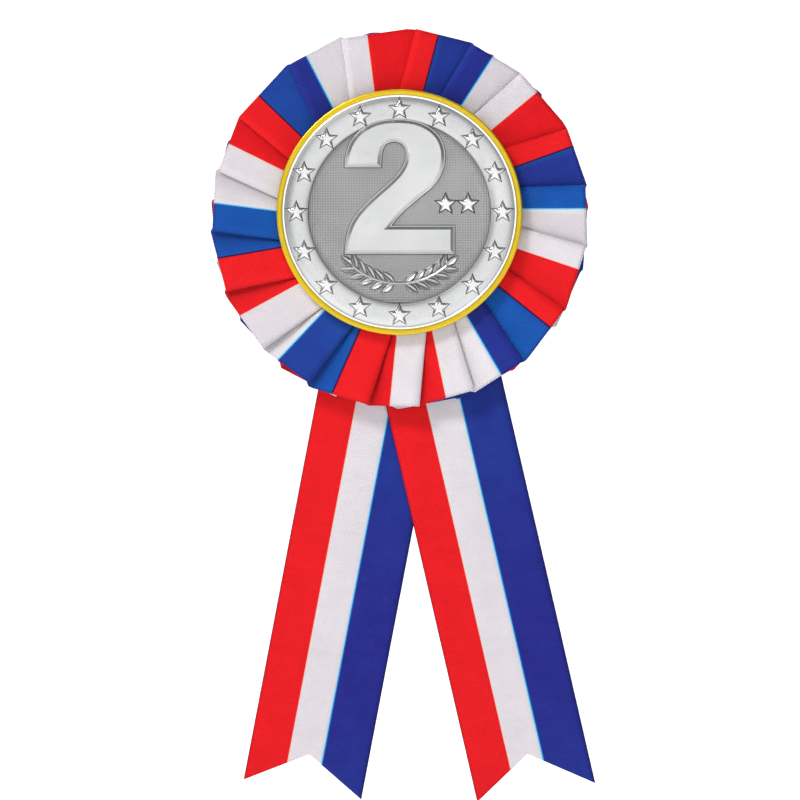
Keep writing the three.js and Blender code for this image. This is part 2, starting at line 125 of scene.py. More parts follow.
class Finish:
    """One material: a Principled shader, the constants set on it, and the nodes that vary its surface."""

    def __init__(self, name, **constants):
        self.material = bpy.data.materials.new(name)
        self.material.use_nodes = True
        self.tree = self.material.node_tree
        self.shader = self.tree.nodes["Principled BSDF"]
        for key, value in constants.items():
            self.shader.inputs[key.replace("_", " ").title().replace("Ior", "IOR")].default_value = value

    def node(self, kind, settings, sockets, output=0):
        """Any node: its settings are set first, and then each socket gets its value or link."""
        node = self.tree.nodes.new("ShaderNode" + kind)
        for key, value in settings.items():
            setattr(node, key, value)
        for key, value in sockets.items():
            if isinstance(value, Value):
                self.tree.links.new(value.socket, node.inputs[key])
            else:
                node.inputs[key].default_value = value
        return Value(self, node.outputs[output])

    def place(self):
        """The rest position, in metres."""
        return self.node("TexCoord", {}, {}, "Object")

    def axes(self, vector):
        return [self.node("SeparateXYZ", {}, {0: vector}, i) for i in range(3)]

    def noise(self, vector, scale, detail=3.0, roughness=0.55):
        return self.node("TexNoise", {}, {"Vector": vector, "Scale": scale, "Detail": detail,
                                          "Roughness": roughness})

    def stretched(self, vector, scale):
        """The place, scaled by a different amount along each axis."""
        return self.node("VectorMath", {"operation": "MULTIPLY"}, {0: vector, 1: scale})

    def noted(self, name):
        """A number noted on the mesh's own points."""
        return self.node("Attribute", {"attribute_name": name}, {}, "Fac")

    def mix(self, factor, low, high):
        """From the colour low at 0 to the colour high at 1."""
        return self.node("Mix", {"data_type": "RGBA"}, {0: factor, 6: low, 7: high}, 2)

    def colour(self, value):
        self.feed("Base Color", value)

    def roughness(self, value):
        self.feed("Roughness", value)

    def bump(self, height, distance):
        self.feed("Normal", self.node("Bump", {}, {"Height": height, "Distance": distance}))

    def feed(self, socket, value):
        self.tree.links.new(value.socket, self.shader.inputs[socket])


def add_mesh(name, points, faces, sharp=30):
    """A new object. Edges that turn by more than sharp degrees stay crisp."""
    mesh = bpy.data.meshes.new(name)
    mesh.from_pydata(points, [], faces)
    mesh.validate()
    mesh.polygons.foreach_set("use_smooth", [True] * len(mesh.polygons))
    mesh.set_sharp_from_angle(angle=math.radians(sharp))
    piece = bpy.data.objects.new(name, mesh)
    bpy.context.collection.objects.link(piece)
    return piece


paper = Finish("paper_sweep", roughness=0.9, emission_strength=0.28)
grain = paper.noise(paper.place(), 40)
paper.colour(paper.mix(grain, (0.94, 0.94, 0.94, 1), (0.96, 0.96, 0.96, 1)))
paper.feed("Emission Color", paper.mix(grain, (0.98, 0.98, 0.98, 1), (1, 1, 1, 1)))
floor_level = cad_bounds[0][2] - 45 * mm
floor_front, floor_back = -3.2, 1.9
bend_radius, bend_steps = 0.35, 12
sweep_top, sweep_half = 3.4, 4.5
sweep_profile = [(floor_front, floor_level)]
for step in range(bend_steps + 1):
    turn = math.radians(90 * step / bend_steps)
    sweep_profile.append((floor_back + bend_radius * math.sin(turn),
                          floor_level + bend_radius * (1 - math.cos(turn))))
sweep_profile.append((floor_back + bend_radius, sweep_top))
sweep_points = [(x, y, z) for y, z in sweep_profile for x in (-sweep_half, sweep_half)]
sweep_faces = [(2 * i, 2 * i + 1, 2 * i + 3, 2 * i + 2) for i in range(len(sweep_profile) - 1)]
sweep = add_mesh("paper_sweep", sweep_points, sweep_faces)
sweep.data.materials.append(paper.material)


def softbox(name, place, aim, size, watts):
    """A rectangular light that faces the point aim."""
    light = bpy.data.lights.new(name, "AREA")
    light.shape = "RECTANGLE"
    light.size, light.size_y = size
    light.energy = watts
    lamp = bpy.data.objects.new(name, light)
    lamp.location = place
    lamp.rotation_euler = (Vector(aim) - Vector(place)).to_track_quat("-Z", "Y").to_euler()
    bpy.context.collection.objects.link(lamp)


softbox("key_light", (-0.66, -0.98, 0.88), (0, 0, -0.03), (0.42, 0.34), 12.1)
softbox("front_panel", (0.1, -2.3, 0.05), (0, 0, -0.07), (1.5, 1.5), 7.2)
softbox("side_panel", (-1.3, -0.15, -0.1), (0, 0, 0), (0.5, 0.9), 1.6)
softbox("rear_light", (0.5, 1.3, 1.2), (0, 0, -0.03), (0.7, 0.7), 2.5)
softbox("sweep_light", (0, 0.6, 2.6), (0, 2.2, 0.2), (3.2, 0.8), 50)
world = bpy.data.worlds.new("studio")
world.use_nodes = True
world.node_tree.nodes["Background"].inputs["Color"].default_value = (0.93, 0.96, 1, 1)
world.node_tree.nodes["Background"].inputs["Strength"].default_value = 0.2
bpy.context.scene.world = world
bpy.context.scene.view_settings.view_transform = "Standard"

# ---------------------------------------------------------------- ruffles
# Each ruffle is one strip of satin ribbon with woven red, white and blue bars, folded into knife pleats. A
# fold lies on the end of the pleat before it, and a thread gathers the strip at its inner edge. The warp
# shows as a fine coloured line where two bars meet. The satin's sheen and the shade of its folds are partly
# painted into its colour.
pleats = 19
ribbon_width = 31 * mm
pleat_length = 28.2 * mm
selvage_distance = 48.4 * mm
inner_radius = selvage_distance - ribbon_width
bar_offset = 2.3 * mm
ply = 0.2 * mm
# a step is half the height of a fold, and a brow is how far round the fold's rounded edge reaches: both are
# small where the boards press the pleats and grow towards the loose outer edge
pressed_step, lofted_step = 0.45 * mm, 1.02 * mm
pressed_until, lofted_from = 26 * mm, 47 * mm
tight_brow, wide_brow = 0.5 * mm, 1.5 * mm
tight_until, wide_from = 20 * mm, 46 * mm
layer_gap = 1.3 * ply
bow_limit = 0.19
# the way to the key light, across the face of the award
key_left, key_above = 0.55, 0.83
ruffle_rows = 24
bar_order = ["white", "red", "blue"]


def slanted(angle, radius, offset):
    """The angle, at a radius, of a straight line that passes the axis at an offset. angle is its place at the
    rim."""
    return angle + math.asin(offset / selvage_distance) - math.asin(offset / radius)


def smooth_step(low, high, value):
    """0 at low and 1 at high, with a smooth rise between."""
    share = min(max((value - low) / (high - low), 0), 1)
    return share * share * (3 - 2 * share)


def between(low, high, share):
    """The number that lies a share of the way from low to high."""
    return low + (high - low) * share


# where the points of a pleat's section lie: along the hidden lap, round the fold, along the first bar and the
# second, and tucked under the next pleat
lap_shares = [0, 0.2, 0.45, 0.75]
turn_steps = 6
first_shares = [0.035, 0.09, 0.22, 0.45, 0.72, 1]
second_shares = [0.2, 0.42, 0.64, 0.82, 0.93, 1]
tucked_shares = [0.2, 0.6, 0.97]
bar_column = len(lap_shares) + turn_steps + len(first_shares) - 1
columns = bar_column + 1 + len(second_shares) + len(tucked_shares)


def pleat_section(fold, following, bar, radius, lift):
    """One pleat at one radius, from its hidden lap to its tucked end: (angle, height) pairs."""
    step = between(pressed_step, lofted_step, smooth_step(pressed_until, lofted_from, radius)) * lift
    pitch = following - fold
    hidden = min((pleat_length / radius - pitch) / 2, 0.85 * pitch)
    crest = 2 * step
    section = []
    for share in lap_shares:
        section.append((fold + hidden * (1 - share), between(layer_gap, crest - step, share)))
    brow = between(tight_brow, wide_brow, smooth_step(tight_until, wide_from, radius))
    for i in range(turn_steps):
        swing = math.pi * i / (turn_steps - 1)
        width, drop = (brow, 0.75) if i >= turn_steps / 2 else (step / 4, 0.25)
        angle = fold + width * (1 - math.sin(swing)) / radius
        section.append((angle, crest - step * (0.75 + drop * math.cos(swing))))
    start = section[-1][0]
    run = [between(start, bar, share) for share in first_shares]
    run += [between(bar, following, share) for share in second_shares]
    meet = 0.12 * mm
    for angle in run:
        share = min((angle - start) / (following - start), 1)
        over_lap = between(crest, 2 * layer_gap, (angle - start) / hidden)
        if angle > start + hidden:
            over_lap = 2 * layer_gap * (1 - smooth_step(start + hidden, following, angle))
        free = crest * (1 - share) ** 1.2
        height = (over_lap + free + math.hypot(over_lap - free, meet * (1 - share))) / 2
        section.append((angle, height))
    for share in tucked_shares:
        section.append((following + hidden * share, 0))
    return section


def lay_cloth(mesh, cloth, edges):
    """Two maps in metres: the place on the flat cloth, and the distances to the two edges of the bar."""
    whole = mesh.uv_layers.new(name="cloth")
    inside = mesh.uv_layers.new(name="bar")
    for face in mesh.polygons:
        for loop in face.loop_indices:
            v = mesh.loops[loop].vertex_index
            whole.data[loop].uv = cloth[v]
            inside.data[loop].uv = edges[face.index, v]


def note(mesh, name, values):
    """Notes a number on each point of a mesh, for its finish to read."""
    layer = mesh.attributes.new(name, "FLOAT", "POINT")
    layer.data.foreach_set("value", values)


thread_pitch = 0.62 * mm
hem_width = 0.7 * mm
stitch_pitch = 0.8 * mm


def satin_finish(bar, dye, shade, painted_glint, low_edge, high_edge):
    """Satin: fine ribs of thread, a soft sheen helped by a painted glint, painted shade, stitches along each
    selvage and a line at each edge of a bar. Each edge is given as the line's width in mm and its colour."""
    finish = Finish("satin_" + bar, sheen_weight=0.03, sheen_roughness=0.4, specular_ior_level=0.09)
    cloth = finish.node("UVMap", {"uv_map": "cloth"}, {})
    along, across, _ = finish.axes(cloth)
    low, high, _ = finish.axes(finish.node("UVMap", {"uv_map": "bar"}, {}))
    thread = 2 * math.pi / thread_pitch
    ribs = (along * thread + across * (thread * 0.3)).sine()
    picks = (across * thread - along * (thread * 0.3)).sine()
    weave = (ribs * picks).above(0, 0.7)
    mottle = finish.noise(cloth, 140, 4)
    streak = finish.noise(finish.stretched(cloth, (1, 0.12, 1)), 900, 2)
    tone = mottle.above(0.5, 0.3) * 0.4 + weave * 0.38 + streak.above(0.5, 0.25) * 0.22
    body = finish.mix(tone, shade, dye)
    # A painted glint: a number noted on the points lifts the colour towards a pale glint colour, most on the
    # ribs of the weave.
    painted_sheen = finish.noted("painted_glint") * (0.25 + 0.75 * weave) * (0.7 + 0.6 * mottle)
    body = finish.mix(painted_sheen.math("MINIMUM", 1), body, painted_glint)
    for distance, (width, line) in ((low, low_edge), (high, high_edge)):
        body = finish.mix(distance.size().below(width * mm, 0.12 * mm), body, line)
    hem = (across - ribbon_width / 2).size().above(ribbon_width / 2 - hem_width, 0.1 * mm)
    stitch = hem * (along * (2 * math.pi / stitch_pitch)).sine().above(0, 0.6)
    body = finish.mix(stitch * 0.5, body, shade)
    # Painted shade: a number noted on the points darkens the colour towards a deep tone of the bar, for the
    # shade in folds and hidden layers.
    dark = tuple(0.35 * c for c in shade[:3]) + (1,)
    finish.colour(finish.mix(finish.noted("painted_shade") * 0.55, body, dark))
    finish.roughness(0.4 + 0.16 * mottle - 0.08 * weave)
    finish.bump(weave + stitch * 0.8, 0.1 * mm)
    return finish


# Each bar: its dye, its darker tone, the colour of its painted glint, and the lines at its two edges.
satin = {
    "white": satin_finish("white", (0.78, 0.72, 0.77, 1), (0.66, 0.60, 0.65, 1), (0.97, 0.95, 0.97, 1),
                          (0.3, (0.18, 0.62, 0.90, 1)), (0.22, (0.90, 0.64, 0.54, 1))),
    "red": satin_finish("red", (0.90, 0.011, 0.016, 1), (0.68, 0.006, 0.012, 1), (0.98, 0.016, 0.018, 1),
                        (0.1, (0.90, 0.10, 0.09, 1)), (0.2, (0.10, 0.003, 0.03, 1))),
    "blue": satin_finish("blue", (0.024, 0.027, 0.30, 1), (0.014, 0.014, 0.19, 1), (0.0, 0.155, 0.60, 1),
                         (0.22, (0.012, 0.004, 0.06, 1)), (0.25, (0.0, 0.16, 0.52, 1))),
}


def ribbon_piece(name, points, faces, bars, cloth, edges):
    """A length of ribbon from its middle surface, with the colour of the bar that each face belongs to."""
    piece = add_mesh(name, points, faces, 180)
    for bar in bar_order:
        piece.data.materials.append(satin[bar].material)
    piece.data.polygons.foreach_set("material_index", [bar_order.index(bar) for bar in bars])
    lay_cloth(piece.data, cloth, edges)
    thicken = piece.modifiers.new("ply", "SOLIDIFY")
    thicken.thickness = ply
    thicken.offset = 0
    return piece


def facing_key(fold):
    """How squarely the fold at an angle faces the key light. Below 0 it faces away."""
    return key_left * math.cos(fold) + key_above * math.sin(fold)


def ruffle(name, node, plan, seed, centre, reach):
    """A pleated strip. Its plan holds one more fold than there are pleats, with angles in degrees clockwise
    from the top, and its outer edge lies a reach beyond the ribbon's own."""
    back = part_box(node)[1][1]
    folds = [math.radians(pleat[0]) for pleat in plan]
    bars = [math.radians(pleat[1]) for pleat in plan]
    offsets = [pleat[2] * mm for pleat in plan]
    lit = [facing_key(fold) for fold in folds]
    rng = random.Random(seed)
    lifts = [rng.uniform(0.9, 1.15) for _ in range(pleats + 1)]
    middles = [(a + b) / 2 - math.radians(1.5) + rng.uniform(-0.02, 0.02) for a, b in zip(folds, folds[1:])]
    spreads = [rng.uniform(-0.3, 0.3) * mm for _ in range(pleats)]
    waves = [rng.uniform(0.1, 0.3) * mm for _ in range(pleats)]
    middles.append(middles[0] + 2 * math.pi)
    spreads.append(spreads[0])
    points, painted_glint, painted_shade = [], [], []
    for row in range(ruffle_rows + 1):
        share = row / ruffle_rows
        across = inner_radius + share * ribbon_width
        near = (1 - share) ** 2
        for k in range(pleats):
            fold = slanted(folds[k], across, offsets[k])
            following = slanted(folds[k + 1], across, offsets[k + 1])
            bar = slanted(bars[k], across, bar_offset)
            slant = slanted(0, across, offsets[k])
            lift = 1 + (lifts[k] - 1) * share
            for i, (angle, height) in enumerate(pleat_section(fold, following, bar, across, lift)):
                tucked = i >= columns - len(tucked_shares)
                owner = k + 1 if tucked else k
                bow = min(max(angle - slant - middles[owner], -bow_limit), bow_limit)
                rim = (selvage_distance + spreads[owner] + reach - 0.15 * mm * tucked) / math.cos(bow)
                radius = inner_radius + share * (rim - inner_radius)
                belly = 0 if tucked else math.sin(math.pi * (angle - fold) / (following - fold))
                rise = height + 0.5 * ply + waves[k] * share * belly * math.sin(4 * share + k)
                points.append((centre[0] + radius * math.sin(angle), back - rise,
                               centre[1] + radius * math.cos(angle)))
                # Painted glint: each bar's listed glint, a painted highlight on the rounded edge of a fold
                # that faces the key light, and more painted sheen towards the inner edge where a fold faces
                # away.
                part = plan[k][3] if i <= bar_column else plan[k][4]
                past_lap = i - len(lap_shares) - 1
                turning = 0 if past_lap < 0 else max(1 - past_lap / (turn_steps - 2), 0)
                painted_glint.append(max(lit[k] * turning, part) if lit[k] > 0 else part - lit[k] * 0.5 * near)
                # Painted shade: the hidden lap, the rounded edge of a fold that faces away from the key
                # light, the inner part of a fold that faces it, and a painted shadow of the next fold over
                # the end of the second bar.
                run_out = 0 if tucked else smooth_step(bar, following, angle)
                shadow = max(-lit[k], 0) * turning + max(lit[k], 0) * 0.35 * near
                shadow += max(-lit[k + 1], 0) * 0.9 * run_out ** 2
                painted_shade.append(1.0 if 0 < i <= len(lap_shares) else shadow)
    count = pleats * columns
    marks = [bar_column + k * columns for k in range(pleats)]
    flat = []
    for row in range(ruffle_rows + 1):
        line = [Vector(p) for p in points[row * count:(row + 1) * count]]
        run = [0.0]
        for a, b in zip(line, line[1:]):
            run.append(run[-1] + (b - a).length)
        for i in range(count):
            k = min(max((i - bar_column) // columns, 0), pleats - 2)
            a, b = marks[k], marks[k + 1]
            flat.append(pleat_length * (k + (run[i] - run[a]) / (run[b] - run[a])))
    faces, owners = [], []
    for row in range(ruffle_rows):
        for i in range(count - 1):
            a = row * count + i
            faces.append((a, a + 1, a + 1 + count, a + count))
            owners.append((i - bar_column) // columns + 1)
    cloth = [(flat[i], ribbon_width * (i // count) / ruffle_rows) for i in range(len(points))]
    edges = {}
    for face, owner in enumerate(owners):
        for v in faces[face]:
            along = flat[v] - (owner - 1) * pleat_length
            edges[face, v] = (along, pleat_length - along)
    piece = ribbon_piece(name, points, faces, [bar_order[owner % 3] for owner in owners], cloth, edges)
    note(piece.data, "painted_glint", painted_glint)
    note(piece.data, "painted_shade", painted_shade)
    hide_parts(node)
    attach(piece, "root")


# For each pleat, clockwise from the bottom: its fold and the edge between its two bars, in degrees, how far
# the fold's line passes from the axis in mm, and how strongly a painted glint lightens each of its two bars.
front_pleats = [
    (174, 183, 9.5, 0.5, 0.05), (189.5, 201, 7.5, 0.6, 0.85), (208.5, 220.5, 7, 0.35, 0.7),
    (226, 238.5, 7, 0.3, 0.6), (247, 257.5, 9.5, 0.8, 0.7), (266, 274.5, 9.5, 0.8, 0.3),
    (284.5, 293.5, 8.5, 0.4, 0.15), (302, 311, 6.5, 0.6, 0.5), (324, 330, 10, 0.1, 0.3),
    (342, 350, 8.5, 0.4, 0.1), (365, 372, 8.5, 0.6, 0.22), (382.5, 390, 7, 0.08, 0.1),
    (400, 407.5, 7, 0.4, 0), (422, 427.5, 9, 0.7, 0.2), (440, 447, 7, 0.9, 0.2),
    (458.5, 466, 6, 0.6, 0.45), (479, 486, 5, 0.6, 0.9), (499, 507, 6, 0.12, 0.8),
    (516.5, 525.5, 5.5, 0.5, 0.4)]
front_pleats.append((front_pleats[0][0] + 360,) + front_pleats[0][1:])
rear_pleats = [(200 + 360 * i / pleats, 210 + 360 * i / pleats, 7, 0.3, 0.3) for i in range(pleats + 1)]
ruffle("front_ruffle_cloth", "front_ruffle", front_pleats, 5, (0, 0), 0)
ruffle("rear_ruffle_cloth", "rear_ruffle", rear_pleats, 12, (0.15 * mm, -0.4 * mm),
       -0.25 * mm)

# ---------------------------------------------------------------- tails
# Two lengths of satin ribbon with red, white and blue stripes woven along them, each cut to a swallowtail.
# They cross behind the ruffles, where staples hold them to the board, and hang free with a slight wave.
stripes = [("red", 10.3 * mm), ("white", 8.9 * mm), ("blue", 11.8 * mm)]
stripe_columns = 7
tail_rows, end_rows = 84, 8
tail_cross = (2.2 * mm, -4.6 * mm)
tail_rise = 13 * mm
tail_half = ribbon_width / 2
# levels between which the tails come free of the ruffle, and between which each one's own wave grows
held_until, free_from = -52 * mm, -95 * mm
wave_from, wave_full = -84 * mm, -120 * mm


def tail_point(lean, across, down):
    """A point of a tail, from its distance across the ribbon and down from the crossing: x and z."""
    x = tail_cross[0] + across * math.cos(lean) + down * math.sin(lean)
    z = tail_cross[1] + across * math.sin(lean) - down * math.cos(lean)
    return x, z


def tail(body, lean, reach, notch, skew, wave):
    """A tail from above the crossing to its forked end. Skew is how much further one tip reaches than the
    other, as a share of the width."""
    upper, lower = body + "_upper", body + "_lower"
    low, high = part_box(upper)
    middle = (low[1] + high[1]) / 2
    columns_across, borders = [], [-tail_half]
    for _, width in stripes:
        borders.append(borders[-1] + width)
    for left, right in zip(borders, borders[1:]):
        columns_across += [between(left, right, i / stripe_columns) for i in range(stripe_columns)]
    columns_across.append(tail_half)
    straight = reach - notch - 2.5 * mm
    rows = [between(-tail_rise, straight, i / tail_rows) for i in range(tail_rows + 1)]
    points, cloth = [], []
    for i in range(len(rows) + end_rows):
        for across in columns_across:
            tip = reach + skew * across - notch * (1 - abs(across) / tail_half)
            down = rows[i] if i < len(rows) else between(straight, tip, (i - len(rows) + 1) / end_rows)
            x, z = tail_point(lean, across, down)
            free = smooth_step(held_until, free_from, z)
            shared = 0.7 * mm * math.sin((z - held_until) / (17 * mm)) * free
            own = wave * math.sin((down - 60 * mm) / (21 * mm)) * smooth_step(wave_from, wave_full, z)
            curl = 0.35 * mm * free * (across / tail_half) ** 2
            points.append((x, middle + shared + own - curl, z))
            cloth.append((down, across + tail_half))
    count = len(columns_across)
    faces, bars, edges = [], [], {}
    for i in range(len(rows) + end_rows - 1):
        for j in range(count - 1):
            a = i * count + j
            stripe = min(j // stripe_columns, len(stripes) - 1)
            for v in (a, a + 1, a + 1 + count, a + count):
                across = cloth[v][1] - tail_half
                edges[len(faces), v] = (borders[stripe + 1] - across, across - borders[stripe])
            faces.append((a, a + count, a + 1 + count, a + 1))
            bars.append(stripes[stripe][0])
    piece = ribbon_piece(body + "_ribbon", points, faces, bars, cloth, edges)
    # A painted glint along each tail: a slow wave down its length, and more over the red and white stripes to
    # lighten them.
    painted_glint_until = borders[2] + tail_half - ply
    note(piece.data, "painted_glint", [0.12 + 0.1 * math.sin(down / (23 * mm)) + (0.3 if along < painted_glint_until else 0)
                               for down, along in cloth])
    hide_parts(upper, lower)
    fold_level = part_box(lower)[1][2]
    start_down = (tail_cross[1] - fold_level - 2.5 * mm) / math.cos(lean)
    end_down = (tail_cross[1] - fold_level + 8 * mm) / math.cos(lean)
    start_x, start_z = tail_point(lean, 0, start_down)
    end_x, end_z = tail_point(lean, 0, end_down)
    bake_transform(piece)


tail("tail_left", math.radians(-10.8), 146.3 * mm, 9.3 * mm, -0.02, 0.6 * mm)
tail("tail_right", math.radians(13), 148.3 * mm, 10.3 * mm, 0.07, -0.6 * mm)

# ---------------------------------------------------------------- gathering threads
# A twisted cotton thread runs round each ruffle near its inner edge. It is sewn through the folded strip and
# pulled tight, which draws the pleats together.


def dress(node, finish):
    """Gives a finish to a piece that keeps its CAD shape."""
    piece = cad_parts[node]
    piece.data.materials.clear()
    piece.data.materials.append(finish.material)


cotton = Finish("cotton_thread", roughness=0.85)
x, y, z = cotton.axes(cotton.place())
strand = (z.math("ARCTAN2", x) * 160 + y * 9000).sine().above(0, 0.7)
cotton.colour(cotton.mix(strand, (0.52, 0.49, 0.44, 1), (0.82, 0.80, 0.75, 1)))
cotton.bump(strand, 0.08 * mm)
for node in ("front_thread", "rear_thread"):
    dress(node, cotton)

# ---------------------------------------------------------------- boards and staples
# Discs of pressed greyboard stiffen the ruffles. Two bright wire staples go through the centre board and the
# tails, and a ring of foam tape sticks the round back card over them.
greyboard = Finish("greyboard", specular_ior_level=0.2)
place = greyboard.place()
pulp = greyboard.noise(place, 900, 5, 0.7)
fleck = greyboard.noise(place, 2600, 2).above(0.64, 0.04)
fibre = greyboard.mix(pulp, (0.40, 0.38, 0.35, 1), (0.56, 0.54, 0.50, 1))
greyboard.colour(greyboard.mix(fleck * 0.5, fibre, (0.2, 0.18, 0.16, 1)))
greyboard.roughness(0.8 + 0.15 * pulp)
greyboard.bump(pulp, 0.05 * mm)
for node in ("front_board", "hub_disc", "centre_board"):
    dress(node, greyboard)

card = Finish("coated_card", specular_ior_level=0.35)
place = card.place()
x, y, z = card.axes(place)
tooth = card.noise(place, 1500, 4)
stain = card.noise(place, 60, 3)
from_centre = (x * x + z * z).math("SQRT")
rubbed = from_centre.above(23.6 * mm, 0.5 * mm) * stain.above(0.45, 0.15)
face = card.mix(stain, (0.60, 0.59, 0.56, 1), (0.70, 0.69, 0.665, 1))
card.colour(card.mix(rubbed * 0.6, face, (0.50, 0.48, 0.44, 1)))
card.roughness(0.5 + 0.25 * tooth)
card.bump(tooth, 0.03 * mm)
dress("back_card", card)


def foam_finish(name, low, high, scale):
    """Closed-cell foam: fine round pores in a soft matt skin."""
    finish = Finish(name, specular_ior_level=0.15, roughness=0.95)
    place = {"Vector": finish.place(), "Scale": scale}
    cell = finish.node("TexVoronoi", {"feature": "F1"}, place, "Distance")
    pore = cell.below(0.32, 0.14)
    finish.colour(finish.mix(pore, high, low))
    finish.bump(1 - pore, 0.12 * mm)
    return finish


tape_foam = foam_finish("tape_foam", (0.55, 0.55, 0.52, 1), (0.80, 0.80, 0.77, 1), 2600)
dress("tape_ring", tape_foam)


def steel_finish(name, pale, dark, grain):
    """Plated steel: drawn or rolled lines along X, a little dulled in places."""
    finish = Finish(name, metallic=1.0)
    place = finish.place()
    line = finish.noise(finish.stretched(place, grain), 2400, 3)
    dull = finish.noise(place, 300, 4)
    finish.colour(finish.mix(dull.above(0.5, 0.25) * 0.6 + line * 0.3, pale, dark))
    finish.roughness(0.2 + 0.18 * dull + 0.08 * line)
    finish.bump(line, 0.008 * mm)
    return finish


wire_steel = steel_finish("wire_steel", (0.56, 0.56, 0.58, 1), (0.36, 0.36, 0.385, 1), (0.08, 1, 1))
for node in ("staple_upper", "staple_lower"):
    dress(node, wire_steel)

# ---------------------------------------------------------------- bar pin
# A nickel-plated bar pin on a foam pad, in a pocket of the card. The needle turns on a rivet between two
# ears, and its point goes into a slotted barrel that a thumb tab turns inside the bar's open housing.
nickel = steel_finish("nickel_plate", (0.52, 0.50, 0.465, 1), (0.33, 0.315, 0.295, 1), (0.06, 1, 1))


# Ways for a stack of rings to face: (u, v) is a place on a ring and h its height in the stack.
def rearward(u, v, h):
    return -u, h, v


def forward(u, v, h):
    return u, -h, v


def along_x(u, v, h):
    return h, u, v


def upward(u, v, h):
    return u, v, h


def stack(rings, face, origin, loop=False):
    """Points and faces of a closed skin over a stack of rings, which run anticlockwise seen from its top."""
    count = len(rings[0])
    points = [tuple(a + b for a, b in zip(face(*place), origin)) for ring in rings for place in ring]
    pairs = list(zip(range(len(rings) - 1), range(1, len(rings))))
    if loop:
        pairs.append((len(rings) - 1, 0))
    faces = []
    for low, high in pairs:
        for i in range(count):
            j = (i + 1) % count
            faces.append((low * count + i, low * count + j, high * count + j, high * count + i))
    if not loop:
        faces.append(tuple(reversed(range(count))))
        faces.append(tuple((len(rings) - 1) * count + i for i in range(count)))
    return points, faces


def turned(profile, steps=48):
    """Rings from (radius, height) pairs, listed upwards along the outside. Sizes in mm."""
    rings = []
    for radius, height in profile:
        angles = [2 * math.pi * i / steps for i in range(steps)]
        rings.append([(radius * mm * math.cos(a), radius * mm * math.sin(a), height * mm) for a in angles])
    return rings


def inset(outline, distance):
    """An anticlockwise outline moved inwards, with its corners mitred."""
    moved = []
    for i, here in enumerate(outline):
        before, after = Vector(outline[i - 1]), Vector(outline[(i + 1) % len(outline)])
        here = Vector(here)
        first, second = (here - before).normalized(), (after - here).normalized()
        one, two = Vector((-first.y, first.x)), Vector((-second.y, second.x))
        place = here + (one + two) * (distance / max(1 + one.dot(two), 0.12))
        moved.append((place.x, place.y))
    return moved


def raised(outline, levels):
    """Rings from an outline and (inset, height) pairs. Sizes in mm."""
    return [[(x * mm, y * mm, height * mm) for x, y in inset(outline, into)] for into, height in levels]


def bevelled(outline, thickness, edge):
    """Rings of a flat plate with rounded edges."""
    return raised(outline, [(edge, 0), (edge * 0.3, edge * 0.3), (0, edge), (0, thickness - edge),
                            (edge * 0.3, thickness - edge * 0.3), (edge, thickness)])


def arc(radius, start, end, steps, x=0.0, y=0.0):
    """Points round a circle, from one angle to another in degrees."""
    angles = [math.radians(between(start, end, i / steps)) for i in range(steps + 1)]
    return [(x + radius * math.cos(a), y + radius * math.sin(a)) for a in angles]


def stadium(length, width):
    """The outline of a bar with round ends."""
    reach = (length - width) / 2
    return arc(width / 2, -90, 90, 14, reach) + arc(width / 2, 90, 270, 14, -reach)


def joined(parts):
    """Several skins as one."""
    points, faces = [], []
    for part_points, part_faces in parts:
        base = len(points)
        points += part_points
        faces += [tuple(base + v for v in face) for face in part_faces]
    return points, faces


def fitted(name, parts, finish, node, body, sharp=35):
    """A finished piece that stands for a CAD node."""
    piece = add_mesh(name, *joined(parts), sharp)
    piece.data.materials.append(finish.material)
    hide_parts(node)
    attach(piece, body)
    return piece


def centre_of(node):
    low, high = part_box(node)
    return Vector([(a + b) / 2 for a, b in zip(low, high)])


bar_low, bar_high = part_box("pin_bar")
pad_low, pad_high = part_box("pin_pad")
hinge = centre_of("pin_rivet")
barrel_length = 2
catch_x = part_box("pin_catch")[0][0] + barrel_length / 2 * mm
needle_tip = (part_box("pin_needle")[1][0] - hinge.x) / mm
needle_radius = 0.45
pin_level = hinge.z
bar_length = (bar_high[0] - bar_low[0]) / mm
bar_width = 6
bar_thickness = 0.6
bar_top = bar_low[1] / mm + bar_thickness
axis_height = hinge.y / mm
foot = bar_top - axis_height - 0.3
ear_radius, ear_thickness, ear_gap = 1.6, 0.7, 2.0
barrel_bore, barrel_radius = 1.0, 1.9
housing_bore, housing_radius = 2.05, 2.85
slot_width = 1.4

pad_foam = foam_finish("pad_foam", (0.60, 0.60, 0.57, 1), (0.84, 0.84, 0.81, 1), 2600)
pad_thickness = (pad_high[1] - pad_low[1]) / mm
fitted("pin_pad_foam", [stack(bevelled(stadium(bar_length - 2, bar_width - 1), pad_thickness, 0.12), rearward,
                              (0, pad_low[1], pin_level))], pad_foam, "pin_pad", "root")

ear_outline = [(-ear_radius, foot), (ear_radius, foot)] + arc(ear_radius, 0, 180, 18)
ears = [stack(bevelled(ear_outline, ear_thickness, 0.1), upward, (hinge.x, hinge.y, pin_level + low * mm))
        for low in (ear_gap / 2, -ear_gap / 2 - ear_thickness)]
housing = arc(housing_radius, 80, 280, 28) + arc(housing_bore, 280, 80, 28)
post_top, post_half = -housing_bore - 0.3, 1.5
post = [(foot, -post_half), (post_top, -post_half), (post_top, post_half), (foot, post_half)]
seat = (catch_x - barrel_length / 2 * mm, hinge.y, pin_level)
plate = stack(bevelled(stadium(bar_length, bar_width), bar_thickness, 0.15), rearward,
              (0, bar_low[1], pin_level))
fitted("pin_bar_plate", [plate] + ears + [stack(bevelled(housing, barrel_length, 0.12), along_x, seat),
                                          stack(bevelled(post, barrel_length, 0.1), along_x, seat)],
       nickel, "pin_bar", "root")

